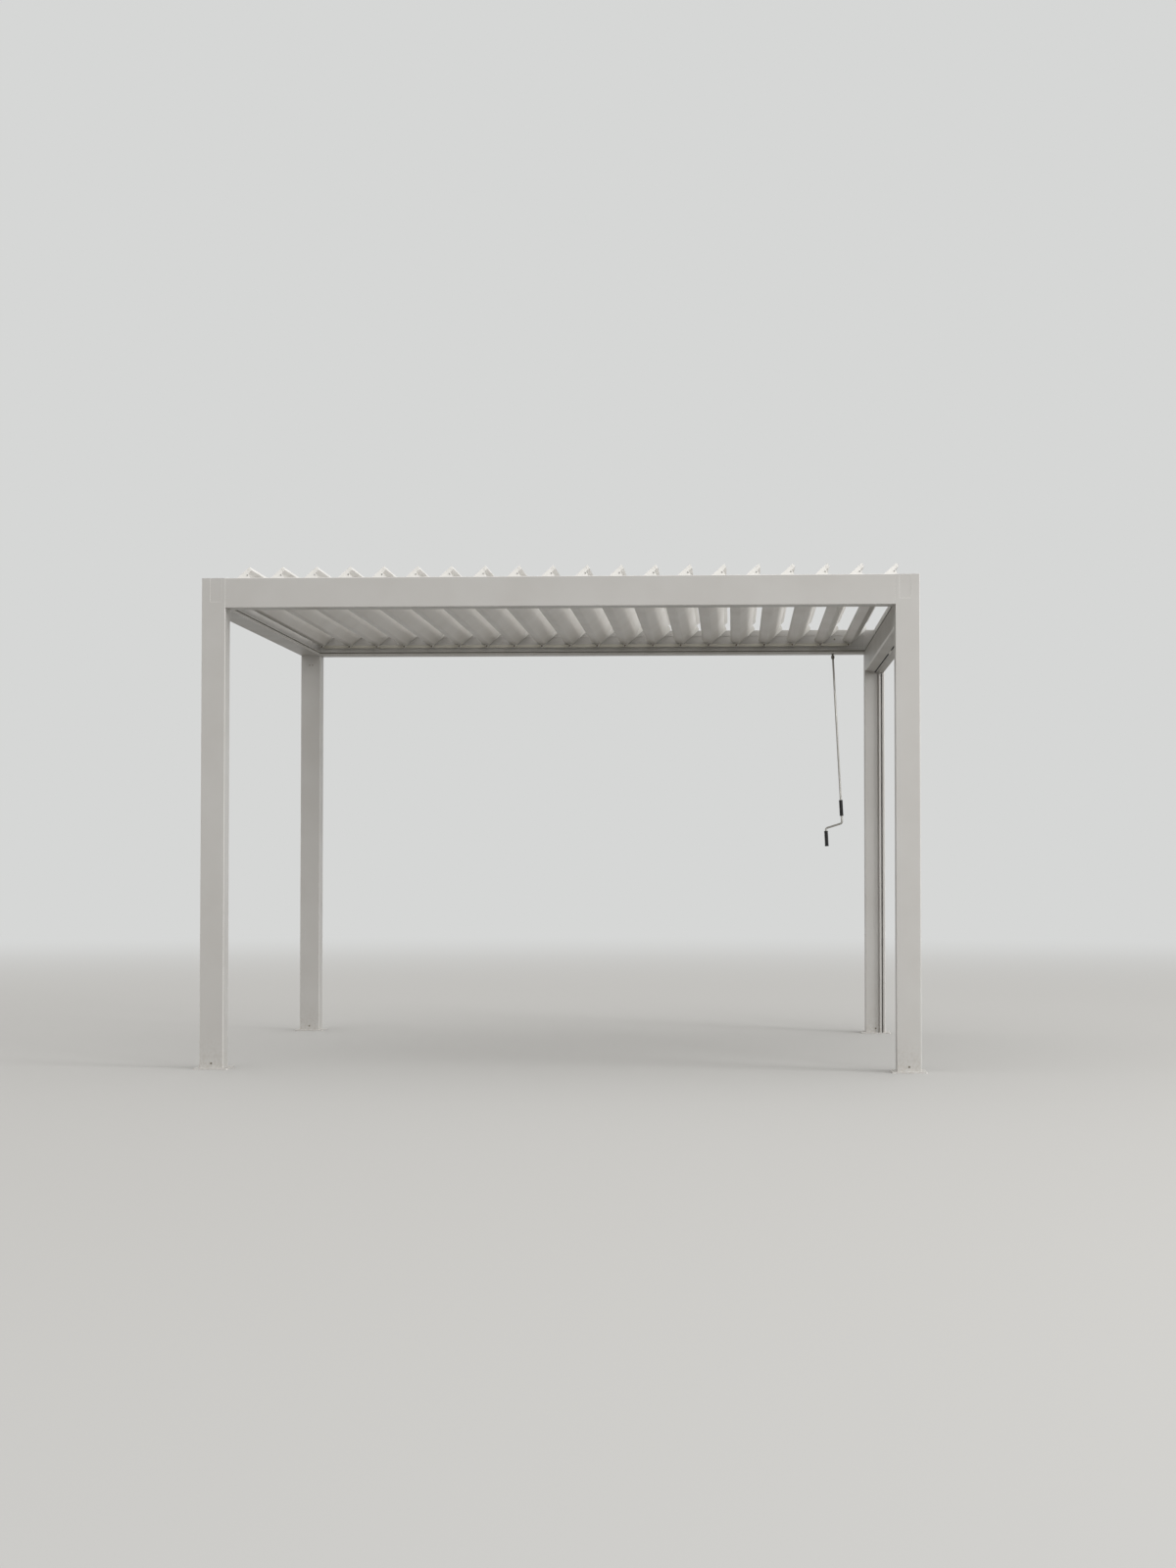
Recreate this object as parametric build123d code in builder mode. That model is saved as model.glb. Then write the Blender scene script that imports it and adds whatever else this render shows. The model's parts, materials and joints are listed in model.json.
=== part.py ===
from build123d import *
import os
from math import atan, cos, degrees, radians, sin

# A louvred-roof pergola in white powder-coated aluminium.
# Origin: ground level under the middle of the footprint. +X right, +Y to the back, +Z up.
# All sizes are in millimetres.

# Overall frame, measured over the posts
frame_width = 3600.0
frame_depth = 3000.0
frame_height = 2470.0

# Posts, and the plates they are bolted down with
post_size = 120.0
post_wall = 3.0
post_edge_radius = 3.0
foot_size = 175.0
foot_thickness = 6.0
foot_corner_radius = 8.0
spigot_height = 70.0
spigot_wall = 4.0
spigot_clearance = 0.3
anchor_spacing = 150.0
anchor_hole_radius = 5.5
drain_radius = 22.0
panel_width = 57.0
panel_height = 117.0
panel_from_top = 3.0
panel_from_beam = 20.0
panel_depth = 1.0

# Perimeter beam: a box with a gutter along its inner side
beam_height = 150.0
beam_wall = 3.0
box_width = 60.0
pivot_strip_height = 33.0
pivot_strip_step = 4.0
gutter_back_height = 42.0
gutter_back_step = 2.5
gutter_lip_height = 24.0
lip_groove_level = 12.0
lip_groove_height = 8.0
lip_groove_depth = 1.2
beam_edge_radius = 3.0

# Louvres
louvre_count = 20
louvre_left_margin = 172.0
louvre_right_margin = 167.6
louvre_overlap = 22.0
louvre_tilt = 42.0
louvre_thickness = 49.0
louvre_wall = 1.6
lip_width = 28.5
lip_foot_inset = 3.5
lip_drop = 19.2
lip_root_drop = 19.5
lip_web_inset = 21.0
belly_inset = 102.4
belly_radius = 60.0
nose_inset = 1.1
nose_drop = 14.6
nose_radius = 4.0
heel_inset = 28.4
heel_radius = 16.0
pivot_inset = 93.7
pivot_drop = 25.3
pivot_below_top = 22.2
front_gap = 6.0
back_gap = 16.0

# End caps, pivot pins and the pins of the link bar
cap_thickness = 3.0
cap_root_inset = 27.5
cap_root_drop = 19.3
cap_side_inset = 29.8
cap_side_drop = 27.0
cap_belly_inset = 33.5
cap_belly_radius = 12.0
cap_slot_inset = 14.0
cap_slot_width = 7.0
cap_slot_drop = 4.0
pivot_radius = 5.0
pivot_clearance = 0.25
pivot_engagement = 8.0
ear_radius = 9.0
ear_inset = 9.3
ear_drop = 43.2
ear_root_radius = 14.0
ear_root_inset = 37.0
ear_root_drop = 34.0
link_pin_radius = 3.0
link_pin_clearance = 0.25
link_head_radius = 5.0
link_head_height = 1.5
link_head_clearance = 0.3
link_bar_height = 18.0
link_bar_thickness = 4.0
link_bar_gap = 6.0

# Crank drive at the back beam
crank_from_right = 315.0
crank_from_back = 85.0
crank_lean = 3.0
gearbox_width = 60.0
gearbox_height = 21.0
gearbox_front = 19.0
gearbox_corner_radius = 4.0
shaft_radius = 6.0
shaft_clearance = 0.3
shaft_hole_radius = 12.0
shaft_drop = 12.0
fork_radius = 10.0
fork_height = 22.0
fork_width = 16.0
eye_radius = 8.0
eye_width = 7.0
eye_clearance = 0.2
fork_pin_radius = 3.0
crank_rod_radius = 6.0
crank_rod_length = 865.0
upper_grip_length = 97.0
grip_radius = 11.5
grip_end_radius = 2.0
bare_rod_length = 45.0
crank_arm_reach = 100.0
crank_arm_drop = 26.0
crank_bend_radius = 14.0
handle_length = 110.0
lower_grip_length = 94.0

# Roller screen housing under the right beam, with its side guides
housing_width = 113.0
housing_inner_drop = 106.0
housing_outer_drop = 125.0
housing_inner_radius = 12.0
housing_outer_radius = 5.0
housing_wall = 2.0
housing_slot = 20.0
housing_slot_offset = 68.0
bar_flange = 32.0
bar_stem = 16.0
bar_depth = 10.0
guide_width = 30.0
guide_depth = 22.0
guide_wall = 2.0
guide_slot = 10.0
guide_edge_gap = 5.0

# Places worked out from the sizes above
half_width = frame_width / 2
half_depth = frame_depth / 2
beam_bottom = frame_height - beam_height
gutter_width = post_size - box_width
post_inside = post_size - 2 * post_wall
beam_run_x = frame_width - 2 * post_size
beam_run_y = frame_depth - 2 * post_size
louvre_pitch = (frame_width - louvre_left_margin - louvre_right_margin) / (louvre_count - 1)
louvre_width = louvre_pitch + louvre_overlap
louvre_xs = [-half_width + louvre_left_margin + i * louvre_pitch for i in range(louvre_count)]
pivot_z = frame_height - pivot_below_top
tilt = radians(louvre_tilt)
cap_front_y = -half_depth + box_width + front_gap
cap_back_y = half_depth - box_width - back_gap
blade_length = cap_back_y - cap_front_y - 2 * cap_thickness
ear_u = ear_inset - pivot_inset
ear_v = pivot_drop - ear_drop
ear_dx = ear_u * cos(tilt) - ear_v * sin(tilt)
ear_dz = ear_u * sin(tilt) + ear_v * cos(tilt)

os.makedirs("parts", exist_ok=True)


def save(name, part):
    part.label = name
    export_step(part, f"parts/{name}.step")


def corner_near(sketch, point):
    return sketch.vertices().sort_by_distance(Vector(*point))[0]


# Posts: a square tube that changes to an L round the gutter corner at beam level.
# The front ones have a shallow panel where the corner's bolts are covered.
def make_post(name):
    x_sign = -1 if "left" in name else 1
    y_sign = -1 if "front" in name else 1
    centre = (x_sign * (half_width - post_size / 2), y_sign * (half_depth - post_size / 2))
    notch = (centre[0] - x_sign * box_width / 2, centre[1] - y_sign * box_width / 2)
    with BuildPart() as post:
        with BuildSketch(Plane.XY.offset(foot_thickness)):
            with Locations(centre):
                RectangleRounded(post_size, post_size, post_edge_radius)
                Rectangle(post_inside, post_inside, mode=Mode.SUBTRACT)
        extrude(amount=beam_bottom - foot_thickness)
        with BuildSketch(Plane.XY.offset(beam_bottom)):
            with Locations(centre):
                RectangleRounded(post_size, post_size, post_edge_radius)
            with Locations(notch):
                Circle(drain_radius, mode=Mode.SUBTRACT)
        extrude(amount=post_wall)
        with BuildSketch(Plane.XY.offset(beam_bottom)):
            with Locations(centre):
                RectangleRounded(post_size, post_size, post_edge_radius)
            with Locations(notch):
                Rectangle(gutter_width, gutter_width, mode=Mode.SUBTRACT)
        extrude(amount=beam_height)
        with BuildSketch(Plane.XY.offset(beam_bottom + post_wall)):
            with Locations(centre):
                Rectangle(post_inside, post_inside)
            with Locations(notch):
                Rectangle(gutter_width + 2 * post_wall, gutter_width + 2 * post_wall, mode=Mode.SUBTRACT)
        extrude(amount=beam_height - 2 * post_wall, mode=Mode.SUBTRACT)
        if y_sign < 0:
            panel_x = x_sign * (half_width - post_size + panel_from_beam + panel_width / 2)
            panel_z = frame_height - panel_from_top - panel_height / 2
            with BuildSketch(Plane((panel_x, -half_depth, panel_z), (1, 0, 0), (0, -1, 0))):
                Rectangle(panel_width, panel_height)
            extrude(amount=-panel_depth, mode=Mode.SUBTRACT)
    save(name, post.part)


for post_name in ("post_front_left", "post_front_right", "post_back_left", "post_back_right"):
    make_post(post_name)

# Foot plates: four anchor holes each, and a spigot that stands up inside the post
spigot_outside = post_inside - 2 * spigot_clearance
spigot_inside = spigot_outside - 2 * spigot_wall
with BuildPart() as foot_plates:
    with BuildSketch():
        with GridLocations(frame_width - post_size, frame_depth - post_size, 2, 2):
            RectangleRounded(foot_size, foot_size, foot_corner_radius)
            with GridLocations(anchor_spacing, anchor_spacing, 2, 2):
                Circle(anchor_hole_radius, mode=Mode.SUBTRACT)
    extrude(amount=foot_thickness)
    with BuildSketch(Plane.XY.offset(foot_thickness)):
        with GridLocations(frame_width - post_size, frame_depth - post_size, 2, 2):
            Rectangle(spigot_outside, spigot_outside)
            Rectangle(spigot_inside, spigot_inside, mode=Mode.SUBTRACT)
    extrude(amount=spigot_height)
save("foot_plates", foot_plates.part)

# Beam section: its first axis runs inwards from the outer face, its second axis up
strip_z = beam_height - pivot_strip_height
wall_in = box_width - pivot_strip_step
gutter_in = wall_in + gutter_back_step
groove_in = post_size - lip_groove_depth
groove_top = lip_groove_level + lip_groove_height
with BuildSketch() as beam_section:
    with BuildLine():
        Polyline(
            (0, 0), (post_size, 0), (post_size, lip_groove_level), (groove_in, lip_groove_level),
            (groove_in, groove_top), (post_size, groove_top), (post_size, gutter_lip_height),
            (post_size - beam_wall, gutter_lip_height), (post_size - beam_wall, beam_wall),
            (gutter_in, beam_wall), (gutter_in, gutter_back_height), (wall_in, gutter_back_height),
            (wall_in, strip_z), (box_width, strip_z), (box_width, beam_height), (0, beam_height), (0, 0),
        )
    make_face()
    fillet(beam_section.vertices().group_by(Axis.X)[0], beam_edge_radius)
    with BuildLine():
        Polyline(
            (beam_wall, beam_wall), (wall_in - beam_wall, beam_wall),
            (wall_in - beam_wall, strip_z + beam_wall), (box_width - beam_wall, strip_z + beam_wall),
            (box_width - beam_wall, beam_height - beam_wall), (beam_wall, beam_height - beam_wall),
            (beam_wall, beam_wall),
        )
    make_face(mode=Mode.SUBTRACT)

# Each beam starts at one post: where its outer bottom edge is, the way inwards, the way along, the run
beam_places = {
    "beam_front": ((-half_width + post_size, -half_depth), (0, 1, 0), (1, 0, 0), beam_run_x),
    "beam_back": ((half_width - post_size, half_depth), (0, -1, 0), (-1, 0, 0), beam_run_x),
    "beam_right": ((half_width, -half_depth + post_size), (-1, 0, 0), (0, 1, 0), beam_run_y),
    "beam_left": ((-half_width, half_depth - post_size), (1, 0, 0), (0, -1, 0), beam_run_y),
}
crank_x = half_width - crank_from_right
crank_y = half_depth - crank_from_back
for beam_name, (start, inwards, along, beam_run) in beam_places.items():
    with BuildPart() as beam:
        with BuildSketch(Plane((*start, beam_bottom), inwards, along)):
            add(beam_section.sketch)
        extrude(amount=beam_run)
        if beam_name in ("beam_front", "beam_back"):
            y_sign = -1 if beam_name == "beam_front" else 1
            wall_y = y_sign * (half_depth - box_width + beam_wall / 2)
            with BuildSketch(Plane((0, wall_y, pivot_z), (1, 0, 0), (0, -1, 0))):
                with Locations([(x, 0) for x in louvre_xs]):
                    Circle(pivot_radius + pivot_clearance)
            extrude(amount=beam_wall, both=True, mode=Mode.SUBTRACT)
        if beam_name == "beam_back":
            with BuildSketch(Plane.XY.offset(beam_bottom)):
                with Locations((crank_x, crank_y)):
                    Circle(shaft_hole_radius)
            extrude(amount=beam_wall, mode=Mode.SUBTRACT)
    save(beam_name, beam.part)


# Louvres, drawn about their pivot: the first axis along the blade, the second out of its top face
def louvre_plane(x, y):
    return Plane((x, y, pivot_z), (cos(tilt), 0, sin(tilt)), (0, -1, 0))


def at_pivot(u, v):
    return (u - pivot_inset, v + pivot_drop)


edge = at_pivot(0, 0)
lip_top = at_pivot(louvre_width, 0)
lip_foot = at_pivot(louvre_width - lip_foot_inset, -lip_drop)
lip_root = at_pivot(louvre_width - lip_width, -lip_root_drop)
belly = at_pivot(louvre_width - belly_inset, -louvre_thickness)
heel = at_pivot(heel_inset, -louvre_thickness)
nose = at_pivot(nose_inset, -nose_drop)
with BuildSketch() as blade_outline:
    with BuildLine():
        Polyline(edge, lip_top, lip_foot, lip_root, belly, heel, nose, edge)
    make_face()
    fillet(corner_near(blade_outline, belly), belly_radius)
    fillet(corner_near(blade_outline, heel), heel_radius)
    fillet(corner_near(blade_outline, nose), nose_radius)
with BuildSketch() as blade_chambers:
    add(offset(blade_outline.sketch.face(), -louvre_wall, kind=Kind.INTERSECTION, mode=Mode.PRIVATE))
    with Locations(at_pivot(pivot_inset, 0), at_pivot(louvre_width - lip_web_inset, 0)):
        Rectangle(louvre_wall, 2 * louvre_thickness, mode=Mode.SUBTRACT)
with BuildSketch() as blade_section:
    add(blade_outline.sketch)
    add(blade_chambers.sketch, mode=Mode.SUBTRACT)

# The caps are deeper than the blades towards the lip, where they step in. A slot parts the lip's
# end from the rest of the cap, and an ear at the other end takes the link bar's pin.
cap_root = at_pivot(louvre_width - cap_root_inset, -cap_root_drop)
cap_side = at_pivot(louvre_width - cap_side_inset, -cap_side_drop)
cap_belly = at_pivot(louvre_width - cap_belly_inset, -louvre_thickness)
cap_slot = at_pivot(louvre_width - cap_slot_inset, -cap_slot_drop)
ear = (ear_u, ear_v)
with BuildSketch() as ear_outline:
    with Locations(ear):
        Circle(ear_radius)
    with Locations(at_pivot(ear_root_inset, -ear_root_drop)):
        Circle(ear_root_radius)
    make_hull()
with BuildSketch() as cap_outline:
    with BuildLine():
        Polyline(edge, lip_top, lip_foot, cap_root, cap_side, cap_belly, heel, nose, edge)
    make_face()
    fillet(corner_near(cap_outline, cap_belly), cap_belly_radius)
    fillet(corner_near(cap_outline, heel), heel_radius)
    fillet(corner_near(cap_outline, nose), nose_radius)
    with Locations(cap_slot):
        Rectangle(cap_slot_width, lip_root_drop, align=(Align.MAX, Align.MAX), mode=Mode.SUBTRACT)
    add(ear_outline.sketch)

link_bar_front = cap_back_y + link_bar_gap
link_head_y = link_bar_front + link_bar_thickness + link_head_clearance
for number, louvre_x in enumerate(louvre_xs, start=1):
    with BuildPart() as blade:
        with BuildSketch(louvre_plane(louvre_x, cap_back_y - cap_thickness)):
            add(blade_section.sketch)
        extrude(amount=blade_length)
    save(f"louvre_blade_{number:02d}", blade.part)

    with BuildPart() as caps:
        with BuildSketch(louvre_plane(louvre_x, cap_back_y)):
            add(cap_outline.sketch)
        extrude(amount=cap_thickness)
        with BuildSketch(louvre_plane(louvre_x, cap_back_y)):
            Circle(pivot_radius)
        extrude(amount=-(back_gap + beam_wall + pivot_engagement))
        with BuildSketch(louvre_plane(louvre_x, cap_back_y)):
            with Locations(ear):
                Circle(link_pin_radius)
        extrude(amount=cap_back_y - link_head_y)
        with BuildSketch(louvre_plane(louvre_x, link_head_y)):
            with Locations(ear):
                Circle(link_head_radius)
        extrude(amount=-link_head_height)
        with BuildSketch(louvre_plane(louvre_x, cap_front_y + cap_thickness)):
            add(cap_outline.sketch)
        extrude(amount=cap_thickness)
        with BuildSketch(louvre_plane(louvre_x, cap_front_y)):
            Circle(pivot_radius)
        extrude(amount=front_gap + beam_wall + pivot_engagement)
    save(f"louvre_caps_{number:02d}", caps.part)

# Link bar: one flat bar behind the back caps that tilts all the louvres together
link_bar_length = (louvre_count - 1) * louvre_pitch
link_bar_x = louvre_xs[0] + ear_dx + link_bar_length / 2
with BuildPart() as link_bar:
    with BuildSketch(Plane((link_bar_x, link_bar_front, pivot_z + ear_dz), (1, 0, 0), (0, -1, 0))):
        SlotCenterToCenter(link_bar_length, link_bar_height)
        with GridLocations(louvre_pitch, 0, louvre_count, 1):
            Circle(link_pin_radius + link_pin_clearance, mode=Mode.SUBTRACT)
    extrude(amount=-link_bar_thickness)
save("link_bar", link_bar.part)

# The crank's own leaning axis, from its shaft's top end in the gearbox down
lean = radians(crank_lean)
crank_down = (sin(lean), 0, -cos(lean))
crank_top = (crank_x, crank_y, beam_bottom + beam_wall + gearbox_height / 2)
crank_side_plane = Plane(crank_top, (cos(lean), 0, sin(lean)), (0, -1, 0))


def crank_level(drop, across=0):
    start = crank_side_plane.from_local_coords((across, -drop, 0))
    return Plane(start, (0, 1, 0), crank_down)


# Crank gearbox, standing in the back gutter against the wall of the beam
gearbox_back_y = half_depth - gutter_in
gearbox_front_y = crank_y - gearbox_front
with BuildPart() as gearbox:
    with BuildSketch(Plane.XY.offset(beam_bottom + beam_wall)):
        with Locations((crank_x, (gearbox_back_y + gearbox_front_y) / 2)):
            Rectangle(gearbox_width, gearbox_back_y - gearbox_front_y)
    extrude(amount=gearbox_height)
    fillet(gearbox.edges().filter_by(Axis.Z), gearbox_corner_radius)
    with BuildSketch(crank_level(-shaft_clearance)):
        Circle(shaft_radius + shaft_clearance)
    extrude(amount=gearbox_height, mode=Mode.SUBTRACT)
save("crank_gearbox", gearbox.part)

# Crank: a shaft that ends in a fork, and a bent rod whose eye hangs on the fork's pin
fork_top = beam_wall + gearbox_height / 2 + shaft_drop
pin_level = fork_top + fork_height - fork_radius
with BuildPart() as crank_shaft:
    with BuildSketch(crank_level(0)):
        Circle(shaft_radius)
    extrude(amount=fork_top)
    with BuildSketch(crank_side_plane):
        with Locations((0, -fork_top)):
            Rectangle(2 * fork_radius, fork_height - fork_radius, align=(Align.CENTER, Align.MAX))
        with Locations((0, -pin_level)):
            Circle(fork_radius)
    extrude(amount=fork_width / 2, both=True)
    with BuildSketch(crank_side_plane):
        with Locations((0, -pin_level + eye_radius + eye_clearance)):
            Rectangle(2 * fork_radius, fork_height, align=(Align.CENTER, Align.MAX))
    extrude(amount=eye_width / 2 + eye_clearance, both=True, mode=Mode.SUBTRACT)
    with BuildSketch(crank_side_plane):
        with Locations((0, -pin_level)):
            Circle(fork_pin_radius)
    extrude(amount=fork_width / 2, both=True)
save("crank_shaft", crank_shaft.part)

rod_top = pin_level + fork_radius + eye_clearance
grip_level = rod_top + crank_rod_length
arm_level = grip_level + upper_grip_length + bare_rod_length
handle_top = arm_level + crank_arm_drop
handle_foot = handle_top + handle_length
with BuildPart() as crank_rod:
    with BuildLine(crank_side_plane):
        FilletPolyline(
            (0, -rod_top), (0, -arm_level), (-crank_arm_reach, -handle_top), (-crank_arm_reach, -handle_foot),
            radius=crank_bend_radius,
        )
    with BuildSketch(crank_level(rod_top)):
        Circle(crank_rod_radius)
    sweep()
    with BuildSketch(crank_side_plane):
        with Locations((0, -pin_level)):
            Circle(eye_radius)
            Rectangle(2 * crank_rod_radius, rod_top - pin_level, align=(Align.CENTER, Align.MAX))
    extrude(amount=eye_width / 2, both=True)
    with BuildSketch(crank_side_plane):
        with Locations((0, -pin_level)):
            Circle(fork_pin_radius + eye_clearance)
    extrude(amount=eye_width, both=True, mode=Mode.SUBTRACT)
save("crank_rod", crank_rod.part)


def make_grip(name, drop, across, length):
    with BuildPart() as grip:
        with BuildSketch(crank_level(drop, across)):
            Circle(grip_radius)
            Circle(crank_rod_radius, mode=Mode.SUBTRACT)
        extrude(amount=length)
        fillet(grip.edges().filter_by(GeomType.CIRCLE).group_by(SortBy.RADIUS)[-1], grip_end_radius)
    save(name, grip.part)


make_grip("crank_upper_grip", grip_level, 0, upper_grip_length)
make_grip("crank_handle_grip", handle_foot - lower_grip_length, -crank_arm_reach, lower_grip_length)

# Roller screen housing between the right posts, its underside slanting down outwards
housing_plane = Plane((half_width - post_size, half_depth - post_size, beam_bottom), (1, 0, 0), (0, -1, 0))
housing_slope = (housing_outer_drop - housing_inner_drop) / housing_width
slot_drop = housing_inner_drop + housing_slot_offset * housing_slope
slot_place = Location((housing_slot_offset, -slot_drop), -degrees(atan(housing_slope)))
inner_foot = (0, -housing_inner_drop)
outer_foot = (housing_width, -housing_outer_drop)
with BuildSketch() as housing_outline:
    with BuildLine():
        Polyline((0, 0), (housing_width, 0), outer_foot, inner_foot, (0, 0))
    make_face()
    fillet(corner_near(housing_outline, inner_foot), housing_inner_radius)
    fillet(corner_near(housing_outline, outer_foot), housing_outer_radius)
with BuildPart() as screen_housing:
    with BuildSketch(housing_plane):
        add(housing_outline.sketch)
        add(offset(housing_outline.sketch.face(), -housing_wall, kind=Kind.INTERSECTION, mode=Mode.PRIVATE),
            mode=Mode.SUBTRACT)
        with Locations(slot_place):
            Rectangle(housing_slot, 2 * housing_wall, mode=Mode.SUBTRACT)
    extrude(amount=beam_run_y)
save("screen_housing", screen_housing.part)

# The rolled-up screen's bottom bar: its flange rests inside the housing, its stem fills the slot
with BuildPart() as screen_bar:
    with BuildSketch(housing_plane):
        with Locations(slot_place * Location((0, housing_wall))):
            Rectangle(bar_flange, bar_depth, align=(Align.CENTER, Align.MIN))
            Rectangle(bar_stem, housing_wall, align=(Align.CENTER, Align.MAX))
    extrude(amount=beam_run_y)
save("screen_bottom_bar", screen_bar.part)

# Side guides: slotted channels up the right posts' inner faces, open towards the screen
with BuildPart() as screen_guides:
    with BuildSketch(Plane.XY.offset(foot_thickness)):
        with Locations((half_width - guide_edge_gap - guide_width / 2, 0)):
            with GridLocations(0, beam_run_y - guide_depth, 1, 2):
                Rectangle(guide_width, guide_depth)
                Rectangle(guide_width - 2 * guide_wall, guide_depth - 2 * guide_wall, mode=Mode.SUBTRACT)
            with GridLocations(0, beam_run_y - 2 * guide_depth + guide_wall, 1, 2):
                Rectangle(guide_slot, guide_wall, mode=Mode.SUBTRACT)
    extrude(amount=beam_bottom - housing_outer_drop - foot_thickness)
save("screen_guides", screen_guides.part)
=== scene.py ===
import json
from math import cos, pi, radians, sin

import bmesh
import bpy
from mathutils import Matrix, Vector


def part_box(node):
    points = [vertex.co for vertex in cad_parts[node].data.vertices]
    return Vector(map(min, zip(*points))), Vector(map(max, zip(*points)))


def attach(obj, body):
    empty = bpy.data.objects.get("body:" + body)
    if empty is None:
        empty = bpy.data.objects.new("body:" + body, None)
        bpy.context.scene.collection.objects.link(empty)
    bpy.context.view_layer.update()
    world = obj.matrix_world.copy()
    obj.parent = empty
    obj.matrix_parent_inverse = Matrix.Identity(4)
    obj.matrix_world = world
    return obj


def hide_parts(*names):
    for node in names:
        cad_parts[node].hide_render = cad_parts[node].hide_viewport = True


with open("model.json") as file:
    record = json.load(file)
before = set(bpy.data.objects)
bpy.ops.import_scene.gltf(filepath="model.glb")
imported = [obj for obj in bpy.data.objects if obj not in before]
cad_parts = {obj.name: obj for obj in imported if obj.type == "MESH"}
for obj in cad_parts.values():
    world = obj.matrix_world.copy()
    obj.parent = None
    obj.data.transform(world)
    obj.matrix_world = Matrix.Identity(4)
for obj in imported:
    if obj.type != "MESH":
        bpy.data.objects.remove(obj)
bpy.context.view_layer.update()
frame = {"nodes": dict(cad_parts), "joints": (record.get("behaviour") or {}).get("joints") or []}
nodes = frame["nodes"]

# Louvred roof pergola: metres, +X to the right, +Y to the back, +Z up, and its feet stand at zero
MM = 0.001
LOUVRE_TILT = radians(42)
LOUVRE_PIVOTS = {joint["child"][-2:]: Vector(joint["pos_m"]) for joint in frame["joints"]
                 if joint["child"].startswith("louvre")}


# Materials
SHARE, FIRST, SECOND, MIXED = 0, 6, 7, 2  # the sockets that a Mix node of colours uses


def linear(hex_colour):
    """An sRGB hex value as the linear colour that the shaders use."""
    parts = [int(hex_colour[i : i + 2], 16) / 255 for i in (1, 3, 5)]
    parts = [c / 12.92 if c <= 0.04045 else ((c + 0.055) / 1.055) ** 2.4 for c in parts]
    return (*parts, 1.0)


def add(tree, kind, inputs=(), **settings):
    """Adds a shader node and gives it its settings and inputs. The inputs are a list in the node's
    own order, or go by name or number; each is a value or an output that is linked to it."""
    node = tree.nodes.new("ShaderNode" + kind)
    for name, value in settings.items():
        setattr(node, name, value)
    for name, value in inputs.items() if isinstance(inputs, dict) else enumerate(inputs):
        if isinstance(value, bpy.types.NodeSocket):
            tree.links.new(value, node.inputs[name])
        else:
            node.inputs[name].default_value = value
    return node


def new_material(name):
    """An empty material, its nodes, and the place of each point in the object's own frame."""
    material = bpy.data.materials.new(name)
    material.use_nodes = True
    tree = material.node_tree
    tree.nodes.clear()
    return material, tree, add(tree, "TexCoord").outputs["Object"]


def grained(tree, place, grain, detail):
    """A noise with its grain in millimetres: one size all round, or one for each axis."""
    sizes = grain if isinstance(grain, tuple) else (grain,) * 3
    scale = tuple(1 / (size * MM) for size in sizes)
    place = add(tree, "Mapping", {"Vector": place, "Scale": scale}).outputs["Vector"]
    return add(tree, "TexNoise", {"Vector": place, "Scale": 1.0, "Detail": detail}).outputs["Fac"]


# the first of these colours is a painted highlight for the edges of the coat; the other two are
# dust and splash
EDGE_HIGHLIGHT_COLOUR, DUST_COLOUR, SPLASH_COLOUR = "#F4F3F0", "#A79F8C", "#9C9282"
SPLASH_HEIGHT = 0.18
COAT_IOR, PLASTIC_IOR = 1.5, 1.49


def painted_highlight_on_edges(tree):
    """How far a point lies on an edge, where a paler colour paints in the highlight that rounded
    edges catch.
    """
    # the 3 mm rounded edges, whose faces lie square to no axis
    facing = add(tree, "TexCoord").outputs["Normal"]
    squareness = add(tree, "VectorMath", [facing], operation="ABSOLUTE")
    parts = add(tree, "SeparateXYZ", [squareness.outputs["Vector"]]).outputs
    most = add(tree, "Math", [parts["X"], parts["Y"]], operation="MAXIMUM").outputs[0]
    most = add(tree, "Math", [most, parts["Z"]], operation="MAXIMUM").outputs[0]
    rounded = add(tree, "MapRange", [most, 0.97, 0.86, 0.0, 0.85]).outputs[0]
    # and crisp steps, within 2.5 mm of them, which is less than the walls are thick
    flat = add(tree, "NewGeometry").outputs["Normal"]
    bent = add(tree, "Bevel", {"Radius": 2.5 * MM}, samples=6).outputs[0]
    along = add(tree, "VectorMath", [flat, bent], operation="DOT_PRODUCT").outputs["Value"]
    crisp = add(tree, "MapRange", [along, 0.995, 0.9, 0.0, 0.85]).outputs[0]
    return add(tree, "Math", [rounded, crisp], operation="MAXIMUM").outputs[0]


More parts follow.
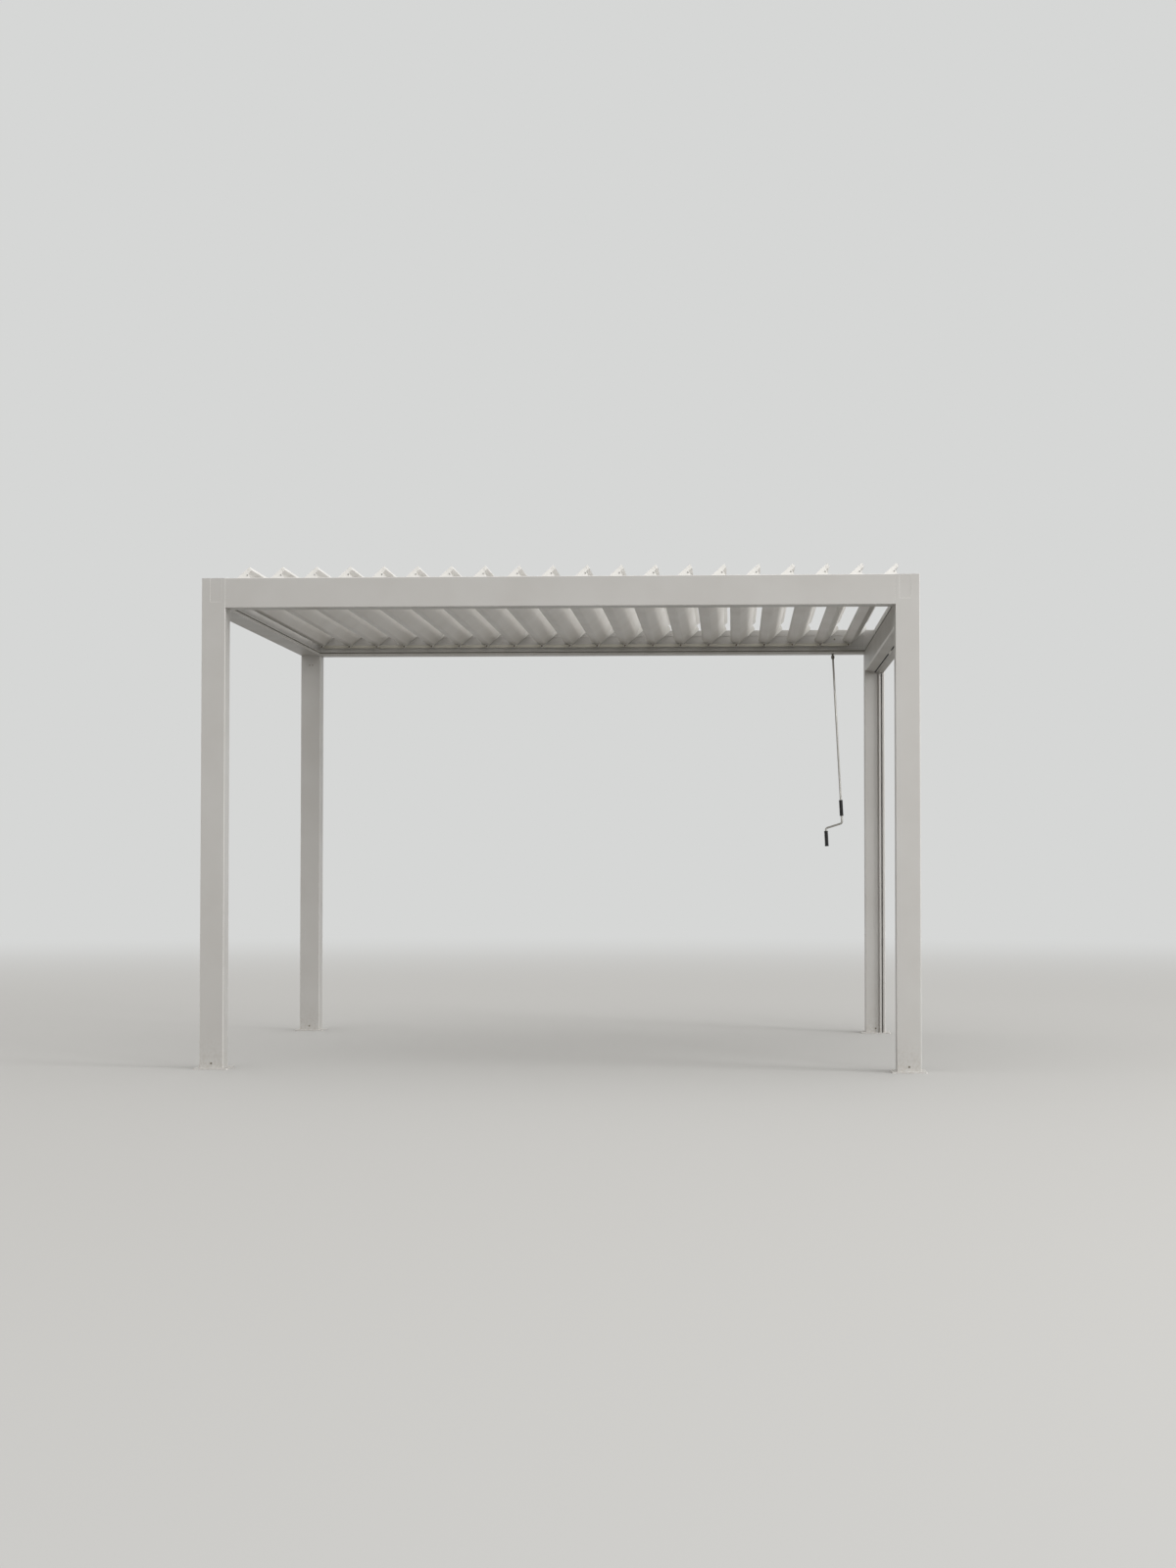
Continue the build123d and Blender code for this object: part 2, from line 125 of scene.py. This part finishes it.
def powder_coat(name, run, light, dark, splash=False, painted_edge_highlight=True):
    """White polyester powder coat, sprayed and baked on extruded aluminium: a satin skin with a
    faint orange peel, and under it the die's long lines, which run along the bar."""
    material, tree, place = new_material(name)
    # clouds of 300 mm, where the coat is a little thinner and warmer
    clouds = grained(tree, place, 300, 3.0)
    tone = add(tree, "MapRange", [clouds, 0.35, 0.7, 0.0, 0.6]).outputs[0]
    colour = add(tree, "Mix", {SHARE: tone, FIRST: linear(light), SECOND: linear(dark)},
                 data_type="RGBA").outputs[MIXED]
    # fine outdoor dust in specks of 25 mm, which settles on what faces up
    facing = add(tree, "SeparateXYZ", [add(tree, "TexCoord").outputs["Normal"]])
    upward = add(tree, "MapRange", [facing.outputs["Z"], 0.6, 1.0, 0.0, 0.22]).outputs[0]
    specks = grained(tree, place, 25, 6.0)
    amount = add(tree, "Math", [upward, specks], operation="MULTIPLY").outputs[0]
    colour = add(tree, "Mix", {SHARE: amount, FIRST: colour, SECOND: linear(DUST_COLOUR)},
                 data_type="RGBA").outputs[MIXED]
    # painted highlight: a paler colour along the edges, where rounded edges catch the light
    if painted_edge_highlight:
        edge = painted_highlight_on_edges(tree)
        colour = add(tree, "Mix", {SHARE: edge, FIRST: colour, SECOND: linear(EDGE_HIGHLIGHT_COLOUR)},
                     data_type="RGBA").outputs[MIXED]
    if splash:
        # rain splash and dust in spots of 9 mm, low on the posts
        height = add(tree, "SeparateXYZ", [place]).outputs["Z"]
        low = add(tree, "MapRange", [height, SPLASH_HEIGHT, 0.0, 0.0, 0.32]).outputs[0]
        spots = grained(tree, place, (9, 9, 14), 8.0)
        spots = add(tree, "MapRange", [spots, 0.42, 0.68, 0.0, 1.0]).outputs[0]
        amount = add(tree, "Math", [low, spots], operation="MULTIPLY").outputs[0]
        colour = add(tree, "Mix", {SHARE: amount, FIRST: colour, SECOND: linear(SPLASH_COLOUR)},
                     data_type="RGBA").outputs[MIXED]
    # an orange peel of 3 mm, drawn at 5 mm so that it shows, and die lines 4 mm apart
    peel = grained(tree, place, 5, 2.0)
    die = grained(tree, place, tuple(2000 if axis == run else 4 for axis in "xyz"), 2.0)
    bump = add(tree, "Bump", {"Height": peel, "Strength": 0.10, "Distance": 0.3 * MM})
    bump = add(tree, "Bump", {"Height": die, "Strength": 0.12, "Distance": 0.2 * MM,
                              "Normal": bump.outputs[0]})
    gloss = add(tree, "MapRange", [clouds, 0.3, 0.7, 0.36, 0.46]).outputs[0]
    shader = add(tree, "BsdfPrincipled", {"Base Color": colour, "Roughness": gloss,
                                          "IOR": COAT_IOR, "Normal": bump.outputs[0]})
    add(tree, "OutputMaterial", {"Surface": shader.outputs[0]})
    return material


def moulded_plastic(name, light, dark, roughness, grain):
    """Injection-moulded or extruded plastic: one even colour right through, a fine eroded grain
    from the tool, and soft highlights."""
    material, tree, place = new_material(name)
    clouds = grained(tree, place, 60, 3.0)
    colour = add(tree, "Mix", {SHARE: clouds, FIRST: linear(light), SECOND: linear(dark)},
                 data_type="RGBA").outputs[MIXED]
    skin = grained(tree, place, grain, 4.0)
    bump = add(tree, "Bump", {"Height": skin, "Strength": 0.2, "Distance": 0.15 * MM})
    shader = add(tree, "BsdfPrincipled", {"Base Color": colour, "Roughness": roughness,
                                          "IOR": PLASTIC_IOR, "Normal": bump.outputs[0]})
    add(tree, "OutputMaterial", {"Surface": shader.outputs[0]})
    return material


def bare_metal(name, light, dark, roughness, grain):
    """A metal with no paint: drawn, rolled, cast or plated, its fine lines lie along the piece
    and break up its highlights."""
    material, tree, place = new_material(name)
    lines = grained(tree, place, grain, 4.0)
    colour = add(tree, "Mix", {SHARE: lines, FIRST: linear(light), SECOND: linear(dark)},
                 data_type="RGBA").outputs[MIXED]
    rough = add(tree, "MapRange", [lines, 0.3, 0.7, roughness - 0.06, roughness + 0.08]).outputs[0]
    bump = add(tree, "Bump", {"Height": lines, "Strength": 0.15, "Distance": 0.1 * MM})
    shader = add(tree, "BsdfPrincipled", {"Base Color": colour, "Metallic": 1.0,
                                          "Roughness": rough, "Normal": bump.outputs[0]})
    add(tree, "OutputMaterial", {"Surface": shader.outputs[0]})
    return material


def brush_edged_bar(name, brush_edge, coat):
    """A powder-coated bar with a strip of black polypropylene brush along one edge, where it meets
    its slot: pale and satin on one side of the line, dark and dull on the other."""
    material, tree, place = new_material(name)
    across = add(tree, "SeparateXYZ", [place]).outputs["X"]
    near, far = brush_edge - 0.3 * MM, brush_edge + 0.3 * MM
    coated = add(tree, "MapRange", [across, near, far, 0.0, 1.0]).outputs[0]
    # bristles 1.5 mm apart along the bar
    bristles = grained(tree, place, (12, 1.5, 12), 3.0)
    brush = add(tree, "Mix", {SHARE: bristles, FIRST: linear("#0C0C0D"), SECOND: linear("#222223")},
                data_type="RGBA").outputs[MIXED]
    colour = add(tree, "Mix", {SHARE: coated, FIRST: brush, SECOND: linear(coat)},
                 data_type="RGBA").outputs[MIXED]
    bump = add(tree, "Bump", {"Height": bristles, "Strength": 0.3, "Distance": 0.2 * MM})
    gloss = add(tree, "MapRange", [coated, 0.0, 1.0, 0.85, 0.42]).outputs[0]
    shader = add(tree, "BsdfPrincipled", {"Base Color": colour, "Roughness": gloss,
                                          "IOR": COAT_IOR, "Normal": bump.outputs[0]})
    add(tree, "OutputMaterial", {"Surface": shader.outputs[0]})
    return material


# white coat in the overcast light of the photograph; its die lines run up, across or back
COAT_LIGHT, COAT_DARK = "#C8C7C4", "#BFBDB9"
coat_up = powder_coat("powder_coated_post", "z", COAT_LIGHT, COAT_DARK, splash=True)
coat_across = powder_coat("powder_coated_cross_beam", "x", COAT_LIGHT, COAT_DARK)
coat_deep = powder_coat("powder_coated_side_beam", "y", COAT_LIGHT, COAT_DARK)
# the louvres are a shade lighter than the frame, and their thin walls get no painted edge highlight
coat_blade = powder_coat("powder_coated_louvre", "y", "#EDECE9", "#E5E3DF", painted_edge_highlight=False)
# the caps are whiter than the coat in the photograph, and their plastic is a little more matt
cap_plastic = moulded_plastic("moulded_white_asa", "#F3F2EF", "#EBEAE6", 0.42, 1.2)
# soft black sleeves, nearly without a highlight
grip_plastic = moulded_plastic("moulded_black_pvc", "#1B1B1C", "#131314", 0.5, 0.8)
# painted shade: a dull grey strip in the grooves of the gutter lips, darker than the shallow
# grooves' own shade
groove_shade_strip = moulded_plastic("painted_groove_shade_strip", "#6E6C64", "#5F5D56", 0.7, 2.0)
# the dark line of the screen's slot is its brush, with the pale bar beyond it
BRUSH_EDGE_X = 1.7465
screen_bar = brush_edged_bar("brush_edged_screen_bar", BRUSH_EDGE_X, COAT_LIGHT)
# flat bar as it comes from the mill, greyer than the coat, with lines along its length
bar_aluminium = bare_metal("mill_finish_aluminium", "#CBC8BE", "#B5B1A6", 0.5, (400, 2, 2))
# grey tube, with a highlight along its length
rod_steel = bare_metal("zinc_plated_steel_tube", "#B9B7B2", "#9C9A95", 0.42, (3, 3, 60))
# brownish grey castings, mottled
drive_zinc = bare_metal("die_cast_zinc", "#7A766F", "#5F5C56", 0.5, (4, 4, 4))
# screws that show as faint grey dots, and dull brownish pins and plugs
screw_steel = bare_metal("stainless_screw", "#D2D1CE", "#B6B5B2", 0.45, (1, 1, 1))
pin_steel = bare_metal("zinc_plated_pin", "#A39D91", "#857F74", 0.6, (2, 2, 2))

finishes = {
    "post_front_left": coat_up, "post_front_right": coat_up,
    "post_back_left": coat_up, "post_back_right": coat_up,
    "foot_plates": coat_up, "screen_guides": coat_up,
    "beam_front": coat_across, "beam_back": coat_across,
    "beam_left": coat_deep, "beam_right": coat_deep, "screen_housing": coat_deep,
    "screen_bottom_bar": screen_bar, "link_bar": bar_aluminium,
    "crank_gearbox": drive_zinc, "crank_shaft": drive_zinc, "crank_rod": rod_steel,
    "crank_upper_grip": grip_plastic, "crank_handle_grip": grip_plastic,
}
for louvre in LOUVRE_PIVOTS:
    finishes[f"louvre_blade_{louvre}"] = coat_blade
    finishes[f"louvre_caps_{louvre}"] = cap_plastic
for name, material in finishes.items():
    mesh = nodes[name].data
    mesh.materials.clear()
    mesh.materials.append(material)


# Tools for the small pieces that the CAD leaves out
SHARP_FROM = radians(35)


def new_piece(name, mesh, material, body):
    """A piece with one finish, smooth but for its real edges, that moves with a body of the CAD."""
    mesh.materials.append(material)
    mesh.shade_smooth()
    mesh.set_sharp_from_angle(angle=SHARP_FROM)
    piece = bpy.data.objects.new(name, mesh)
    bpy.context.scene.collection.objects.link(piece)
    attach(piece, body)
    return piece


def finished(shape, mesh_name):
    """Closes a shape where its points meet, turns its faces outwards and gives its mesh."""
    bmesh.ops.remove_doubles(shape, verts=shape.verts, dist=0.001 * MM)
    bmesh.ops.recalc_face_normals(shape, faces=shape.faces)
    mesh = bpy.data.meshes.new(mesh_name)
    shape.to_mesh(mesh)
    shape.free()
    return mesh


def join_rings(shape, rings):
    """Faces between each ring of points and the next."""
    for near, far in zip(rings, rings[1:]):
        for i in range(len(near)):
            j = (i + 1) % len(near)
            shape.faces.new((near[i], near[j], far[j], far[i]))


def turned(mesh_name, profile, stands, sides=24):
    """Pieces turned on a lathe, one for each stand: the place of its foot and the way it points.
    The profile is radius and height in millimetres; a radius in a list is that of a six-sided
    ring, as in a socket."""
    shape = bmesh.new()
    for foot, way in stands:
        turn = Vector(way).to_track_quat("Z", "Y").to_matrix().to_4x4()
        stand = Matrix.Translation(foot) @ turn
        rings = []
        for radius, height in profile:
            six_sided = isinstance(radius, list)
            size = (radius[0] if six_sided else radius) * MM
            ring = []
            for i in range(sides):
                angle = 2 * pi * i / sides
                reach = size * cos(pi / 6) / cos(angle % (pi / 3) - pi / 6) if six_sided else size
                point = Vector((reach * cos(angle), reach * sin(angle), height * MM))
                ring.append(shape.verts.new(stand @ point))
            rings.append(ring)
        join_rings(shape, rings)
    return finished(shape, mesh_name)


def skin_over(shape, outlines):
    """A closed solid through a row of outlines that have the same number of points."""
    rings = [[shape.verts.new(point) for point in outline] for outline in outlines]
    join_rings(shape, rings)
    shape.faces.new(rings[0])
    shape.faces.new(rings[-1])


PIVOT_INSET, PIVOT_DROP = 93.7, 25.3


def on_blade(inset, drop, y):
    """A place on a louvre, seen from its pivot: millimetres along the blade from its low edge and
    below its top face, and metres to the back."""
    u, v = (inset - PIVOT_INSET) * MM, (PIVOT_DROP - drop) * MM
    return Vector((u * cos(LOUVRE_TILT) - v * sin(LOUVRE_TILT), y,
                   u * sin(LOUVRE_TILT) + v * cos(LOUVRE_TILT)))


FRONTWARD, BACKWARD = (0, -1, 0), (0, 1, 0)
CAP_OUTSIDE_FRONT, CAP_OUTSIDE_BACK, CAP_INSIDE_BACK = -1.434, 1.424, 1.421

# Small pieces on each louvre
# pan head screws with a six-sided socket, two through each cap into the blade
PAN_HEAD = [(0, -0.4), (4.7, -0.4), (4.7, 0.5), (4.3, 1.6), (3.4, 2.2), (2.3, 2.4),
            ([2.1], 2.3), ([2.0], 1.1), (0, 0.8)]
CAP_SCREWS = [(157.7, 24.1), (26.0, 12.0)]
stands = [(on_blade(inset, drop, y), way) for inset, drop in CAP_SCREWS
          for y, way in ((CAP_OUTSIDE_FRONT, FRONTWARD), (CAP_OUTSIDE_BACK, BACKWARD))]
cap_screws = turned("cap_screws", PAN_HEAD, stands)

# the link bar's pins end in dark rivet heads on the near side of the ears
RIVET_HEAD = [(0, -0.4), (6.2, -0.4), (6.2, 0.7), (5.4, 1.7), (3.6, 2.4), (1.6, 2.7), (0, 2.8)]
EAR_INSET, EAR_DROP = 9.3, 43.2
stands = [(on_blade(EAR_INSET, EAR_DROP, CAP_INSIDE_BACK), FRONTWARD)]
link_rivet = turned("link_rivet", RIVET_HEAD, stands)

# a white plug fills each cap's slot, a little below its face and with a bevelled rim
PLUG = [(172.75, 4.15), (179.45, 4.15), (179.45, 18.9), (172.75, 18.9)]
PLUG_RIM = [(173.25, 4.65), (178.95, 4.65), (178.95, 18.4), (173.25, 18.4)]
PLUG_DEPTHS = ((PLUG_RIM, 0.3), (PLUG, 0.7), (PLUG, 2.6))
shape = bmesh.new()
for face_y, inwards in ((CAP_OUTSIDE_FRONT, 1), (CAP_OUTSIDE_BACK, -1)):
    skin_over(shape, [[on_blade(inset, drop, face_y + inwards * depth * MM)
                       for inset, drop in outline] for outline, depth in PLUG_DEPTHS])
slot_plugs = finished(shape, "cap_slot_plugs")

ON_EACH_LOUVRE = (("cap_screws", cap_screws, screw_steel, "crank_steel"),
                  ("link_rivet", link_rivet, pin_steel, "gearbox_metal"),
                  ("cap_slot_plugs", slot_plugs, cap_plastic, "white_plastic"))
for louvre, pivot in LOUVRE_PIVOTS.items():
    for name, mesh, material, slot in ON_EACH_LOUVRE:
        piece = new_piece(f"{name}_{louvre}", mesh.copy(), material, f"louvre_{louvre}")
        piece.location = pivot

# Small pieces on the frame
# washer head screws low on each post's front face, into the spigot
WASHER_HEAD = [(0, -0.5), (5.2, -0.5), (5.2, 0.6), (4.2, 1.0), (3.8, 2.4), (2.4, 3.0),
               ([2.2], 2.9), ([2.0], 1.4), (0, 1.0)]
POST_XS, POST_FRONTS, FOOT_SCREW_Z = (-1.74, 1.74), (-1.5, 1.38), 0.030
stands = [(Vector((x, y, FOOT_SCREW_Z)), FRONTWARD) for x in POST_XS for y in POST_FRONTS]
foot_screws = turned("post_foot_screws", WASHER_HEAD, stands)
new_piece("post_foot_screws", foot_screws, pin_steel, "frame")

# two plugged holes near the top of the back left post
HOLE_PLUG = [(0, -0.5), (4.0, -0.5), (4.0, 0.5), (3.4, 1.0), (0, 1.2)]
HOLE_XS, HOLE_Y, HOLE_Z = (-1.747, -1.729), 1.38, 2.261
stands = [(Vector((x, HOLE_Y, HOLE_Z)), FRONTWARD) for x in HOLE_XS]
hole_plugs = turned("post_hole_plugs", HOLE_PLUG, stands)
new_piece("post_hole_plugs", hole_plugs, pin_steel, "frame")

# dark strips in the grooves of the four gutter lips, painted shade that draws a thin dark line
# inside the beams:
# the section in millimetres, out of the lip and up, and each lip's start, run and inward side
GROOVE_SHADE_SECTION = [(-1.1, 0.3), (-0.3, 0.3), (-0.1, 2.2), (0.0, 4.0), (-0.1, 5.8), (-0.3, 7.7), (-1.1, 7.7)]
GROOVE_FOOT, LIP_X, LIP_Y = 2.332, 1.68, 1.38
GUTTER_LIPS = (((-LIP_X, -LIP_Y), (2 * LIP_X, 0), (0, 1)),
               ((LIP_X, LIP_Y), (-2 * LIP_X, 0), (0, -1)),
               ((-LIP_X, LIP_Y), (0, -2 * LIP_Y), (1, 0)),
               ((LIP_X, -LIP_Y), (0, 2 * LIP_Y), (-1, 0)))
shape = bmesh.new()
for start, run, inwards in GUTTER_LIPS:
    near = [Vector((start[0] + inwards[0] * out * MM, start[1] + inwards[1] * out * MM,
                    GROOVE_FOOT + up * MM)) for out, up in GROOVE_SHADE_SECTION]
    skin_over(shape, (near, [point + Vector((*run, 0)) for point in near]))
lip_groove_shade_strips = finished(shape, "gutter_lip_shade_strips")
new_piece("gutter_lip_shade_strips", lip_groove_shade_strips, groove_shade_strip, "frame")

# the screen's pull grip, a moulded bar under the middle of its bottom bar, tapered at both ends
GRIP_FOOT, GRIP_SLOPE = Vector((1.7435, 0.0, 2.2033)), 0.168
GRIP_FULL = [(-5, -0.5), (-5, 2.8), (-4, 4.0), (4, 4.0), (5, 2.8), (5, -0.5)]
GRIP_END = [(-4.4, -0.5), (-4.4, 0.8), (-3.6, 1.5), (3.6, 1.5), (4.4, 0.8), (4.4, -0.5)]
GRIP_RUN = ((-0.171, GRIP_END), (-0.162, GRIP_FULL), (0.017, GRIP_FULL), (0.026, GRIP_END))
along = Vector((1, 0, -GRIP_SLOPE)).normalized()
down = Vector((-GRIP_SLOPE, 0, -1)).normalized()
shape = bmesh.new()
skin_over(shape, [[GRIP_FOOT + (along * u + down * v) * MM + Vector((0, y, 0)) for u, v in outline]
                  for y, outline in GRIP_RUN])
pull_grip = finished(shape, "screen_pull_grip")
new_piece("screen_pull_grip", pull_grip, cap_plastic, "frame")

# Crank grips: ribbed sleeves pushed over the rod, in place of the plain ones
CRANK_LEAN = radians(3)
CRANK_DOWN = Vector((sin(CRANK_LEAN), 0, -cos(CRANK_LEAN)))
GRIPS = (("crank_upper_grip", 97.0, False), ("crank_handle_grip", 94.0, True))
BORE, END_FACE, SHOULDER, SLEEVE, GROOVE, RIB = 6.05, 9.9, 11.1, 11.5, 10.5, 11.4
RIB_PITCH, PLAIN_END = 4.6, 7.0
for name, length, closed in GRIPS:
    low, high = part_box(name)
    top = (Vector(low) + Vector(high)) / 2 - CRANK_DOWN * length / 2 * MM
    profile = [(BORE, 0.0), (END_FACE, 0.0), (SHOULDER, 0.5), (SLEEVE, 1.6), (SLEEVE, 6.0)]
    for k in range(int((length - 2 * PLAIN_END) / RIB_PITCH)):
        foot = PLAIN_END + k * RIB_PITCH
        profile += [(GROOVE, foot + 0.4), (GROOVE, foot + 1.6),
                    (RIB, foot + 2.3), (RIB, foot + RIB_PITCH - 0.4)]
    profile += [(SLEEVE, length - 5.5), (SLEEVE, length - 1.6),
                (SHOULDER, length - 0.5), (END_FACE, length)]
    profile += [(0.0, length + 0.4)] if closed else [(BORE, length), profile[0]]
    grip = turned(name + "_ribbed", profile, [(top, CRANK_DOWN)], sides=32)
    piece = new_piece(name + "_ribbed", grip, grip_plastic, "crank")
    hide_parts(name)

# one more washer head screw, in the back gutter's wall beside the crank
WALL_BOLT = Vector((1.4985, 1.444, 2.4126))
wall_bolt = turned("gutter_wall_bolt", WASHER_HEAD, [(WALL_BOLT, FRONTWARD)])
new_piece("gutter_wall_bolt", wall_bolt, pin_steel, "frame")


# Stage: a pale floor that fades into the pale background, seen as such by the camera and in
# reflections
BACKGROUND = "#D6D7D6"
FLOOR_SEEN, FLOOR_BOUNCE = "#BFBFBD", "#7C7974"
FLOOR_RADIUS, FADE_START, FADE_END, FLOOR_POINTS = 60, 6.0, 22.0, 96


def seen_directly(tree):
    """One where the ray comes from the camera, a mirror or glass, and nought where it only
    brings light."""
    path = add(tree, "LightPath").outputs
    either = add(tree, "Math", [path["Is Camera Ray"], path["Is Glossy Ray"]], operation="MAXIMUM")
    seen = [either.outputs[0], path["Is Transmission Ray"]]
    return add(tree, "Math", seen, operation="MAXIMUM").outputs[0]


floor_mesh = bpy.data.meshes.new("floor")
angles = [2 * pi * i / FLOOR_POINTS for i in range(FLOOR_POINTS)]
ring = [(FLOOR_RADIUS * cos(angle), FLOOR_RADIUS * sin(angle), 0.0) for angle in angles]
floor_mesh.from_pydata(ring, [], [tuple(range(FLOOR_POINTS))])
floor = bpy.data.objects.new("floor", floor_mesh)
bpy.context.scene.collection.objects.link(floor)
floor_material, tree, place = new_material("pale_studio_floor")
distance = add(tree, "VectorMath", [place], operation="LENGTH").outputs["Value"]
far = add(tree, "MapRange", [distance, FADE_START, FADE_END, 0.0, 1.0],
          interpolation_type="SMOOTHSTEP").outputs[0]
seen = seen_directly(tree)
fade = add(tree, "Math", [far, seen], operation="MULTIPLY").outputs[0]
# pale to the eye, but it throws only as much light up as a mid grey floor would
shade = add(tree, "Mix", {SHARE: seen, FIRST: linear(FLOOR_BOUNCE), SECOND: linear(FLOOR_SEEN)},
            data_type="RGBA").outputs[MIXED]
matt = add(tree, "BsdfDiffuse", {"Color": shade}).outputs[0]
glow = add(tree, "Emission", {"Color": linear(BACKGROUND), "Strength": 1.0}).outputs[0]
mixed = add(tree, "MixShader", [fade, matt, glow])
add(tree, "OutputMaterial", {"Surface": mixed.outputs[0]})
floor_mesh.materials.append(floor_material)

# An overcast sky: the world gives light from above, and a pale even background to the eye
world = bpy.data.worlds.new("overcast")
bpy.context.scene.world = world
world.use_nodes = True
tree = world.node_tree
tree.nodes.clear()
way = add(tree, "TexCoord").outputs["Generated"]
height = add(tree, "SeparateXYZ", [way]).outputs["Z"]
sky = add(tree, "MapRange", [height, 0.0, 0.5, 0.55, 1.05]).outputs[0]
# the clouds are brighter towards the right-hand front
BRIGHT_SIDE = (0.6, -0.8, 0.0)
towards = add(tree, "VectorMath", [way, BRIGHT_SIDE], operation="DOT_PRODUCT").outputs["Value"]
side = add(tree, "MapRange", [towards, -1.0, 1.0, 0.8, 1.15]).outputs[0]
sky = add(tree, "Math", [sky, side], operation="MULTIPLY").outputs[0]
light = add(tree, "Background", {"Color": linear("#FFFDFB"), "Strength": sky}).outputs[0]
seen = add(tree, "Background", {"Color": linear(BACKGROUND), "Strength": 1.0}).outputs[0]
mixed = add(tree, "MixShader", [seen_directly(tree), light, seen])
add(tree, "OutputWorld", {"Surface": mixed.outputs[0]})


ROOF = Vector((0.0, 0.0, 2.3))


def soft_lamp(name, place, size, power):
    """A round soft box that lights the roof and isn't seen itself."""
    data = bpy.data.lights.new(name, "AREA")
    data.shape = "DISK"
    data.size = size
    data.energy = power
    lamp = bpy.data.objects.new(name, data)
    lamp.location = place
    lamp.rotation_euler = (ROOF - Vector(place)).to_track_quat("-Z", "Y").to_euler()
    lamp.visible_camera = False
    bpy.context.scene.collection.objects.link(lamp)


soft_lamp("key_softbox", (15.0, -6.5, 6.8), 6.5, 820)
# low enough to reach under the front beam, to the undersides of the louvres
soft_lamp("low_fill_softbox", (8.5, -12.5, 2.3), 2.2, 330)

# Camera: at the photograph's place, 1.03 m above the floor and 12.3 m in front of the frame.
# The photograph is 1600 pixels high, and its focal length was solved as 2522.3 of them.
SENSOR_HEIGHT, PHOTO_HEIGHT, FOCAL_LENGTH = 36.0, 1600, 2522.3
lens = bpy.data.cameras.new("photo_camera")
lens.sensor_fit = "VERTICAL"
lens.sensor_height = SENSOR_HEIGHT
lens.lens = FOCAL_LENGTH / PHOTO_HEIGHT * SENSOR_HEIGHT
lens.clip_end = 200
camera = bpy.data.objects.new("photo_camera", lens)
camera.location = (0.874, -13.797, 1.030)
camera.rotation_euler = (radians(90 + 1.852), radians(-0.029), radians(3.359))
bpy.context.scene.collection.objects.link(camera)
bpy.context.scene.camera = camera

bpy.context.scene.view_settings.view_transform = "Standard"
